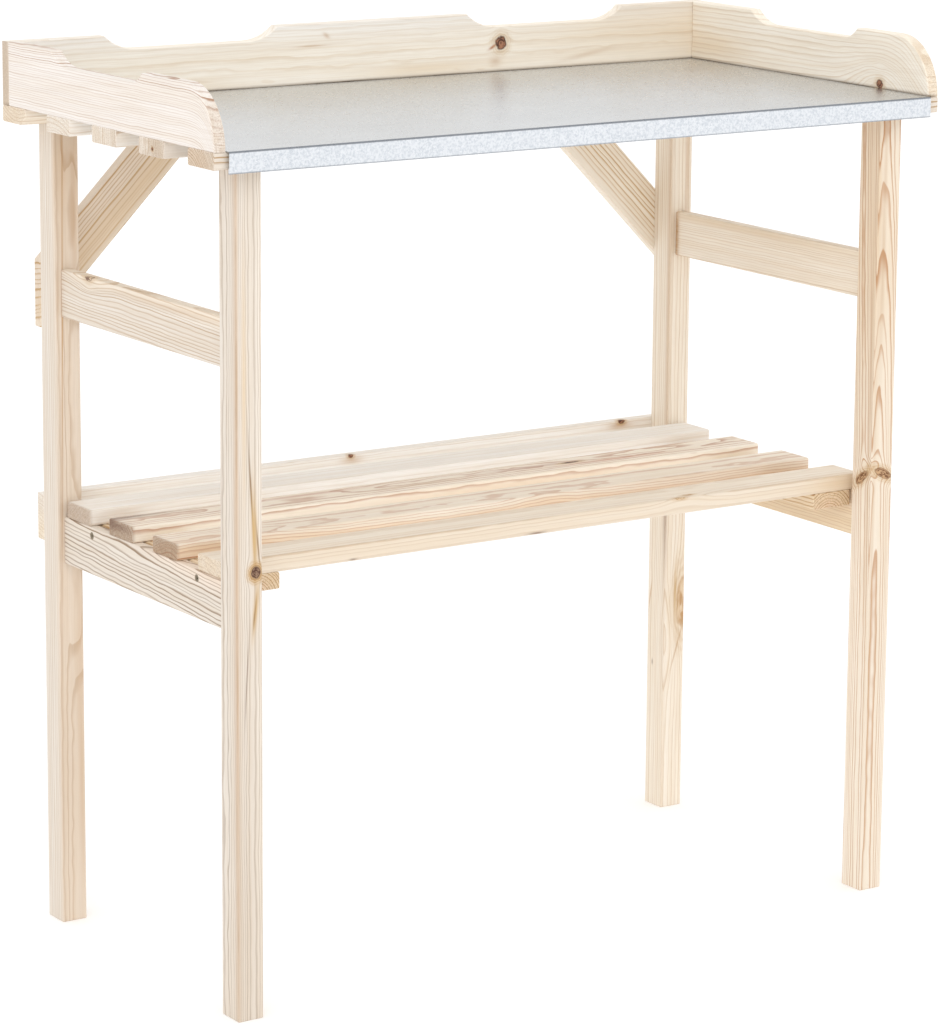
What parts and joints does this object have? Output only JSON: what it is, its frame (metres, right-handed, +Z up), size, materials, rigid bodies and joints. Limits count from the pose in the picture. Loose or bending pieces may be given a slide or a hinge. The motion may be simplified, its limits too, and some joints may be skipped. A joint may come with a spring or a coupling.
{
  "type": "potting bench",
  "caption": "Wooden potting bench with a galvanised sheet top, low waved boards on three sides, and a slatted shelf between four slim legs.",
  "frame": {"origin": "on the floor, under the middle of the bench's outer box", "axes": "+X to the bench's right-hand end seen from the front, +Y from the front to the back, +Z up"},
  "size_m": [0.78, 0.3866, 0.828],
  "materials": {
    "pine": "raw planed softwood, satin",
    "pale_pine": "raw planed softwood, pale, satin",
    "galvanised_sheet": "galvanised, fine spangle, satin",
    "screw_steel": "plated, dull"
  },
  "bodies": {
    "root": {"leg_front_left": "pine", "leg_back_left": "pine", "side_rail_upper_left": "pine", "side_rail_lower_left": "pine", "leg_front_right": "pine", "leg_back_right": "pine", "side_rail_upper_right": "pine", "side_rail_lower_right": "pine", "back_rail": "pine", "brace_left": "pine", "brace_right": "pine", "top_slat_1": "pine", "top_slat_2": "pine", "top_slat_3": "pine", "top_slat_4": "pine", "top_slat_5": "pine", "shelf_slat_1": "pine", "shelf_slat_2": "pine", "shelf_slat_3": "pine", "shelf_slat_4": "pine", "shelf_cleat_left": "pine", "shelf_cleat_right": "pine", "back_board": "pale_pine", "end_board_left": "pale_pine", "end_board_right": "pale_pine", "worktop_sheet": "galvanised_sheet", "screw_cleat_left_1": "screw_steel", "screw_cleat_left_2": "screw_steel", "screw_shelf_left_1": "screw_steel", "screw_shelf_left_2": "screw_steel", "screw_shelf_left_3": "screw_steel", "screw_shelf_left_4": "screw_steel", "screw_back_rail_left_1": "screw_steel", "screw_back_rail_left_2": "screw_steel", "screw_brace_foot_left": "screw_steel", "screw_brace_head_left": "screw_steel", "screw_top_left_front": "screw_steel", "screw_top_left_back": "screw_steel", "screw_end_board_left_2": "screw_steel", "screw_end_board_left_3": "screw_steel", "screw_end_board_left_4": "screw_steel", "screw_corner_left_1": "screw_steel", "screw_corner_left_2": "screw_steel", "screw_cleat_right_1": "screw_steel", "screw_cleat_right_2": "screw_steel", "screw_shelf_right_1": "screw_steel", "screw_shelf_right_2": "screw_steel", "screw_shelf_right_3": "screw_steel", "screw_shelf_right_4": "screw_steel", "screw_back_rail_right_1": "screw_steel", "screw_back_rail_right_2": "screw_steel", "screw_brace_foot_right": "screw_steel", "screw_brace_head_right": "screw_steel", "screw_top_right_front": "screw_steel", "screw_top_right_back": "screw_steel", "screw_end_board_right_2": "screw_steel", "screw_end_board_right_3": "screw_steel", "screw_end_board_right_4": "screw_steel", "screw_corner_right_1": "screw_steel", "screw_corner_right_2": "screw_steel"}
  },
  "joints": []
}
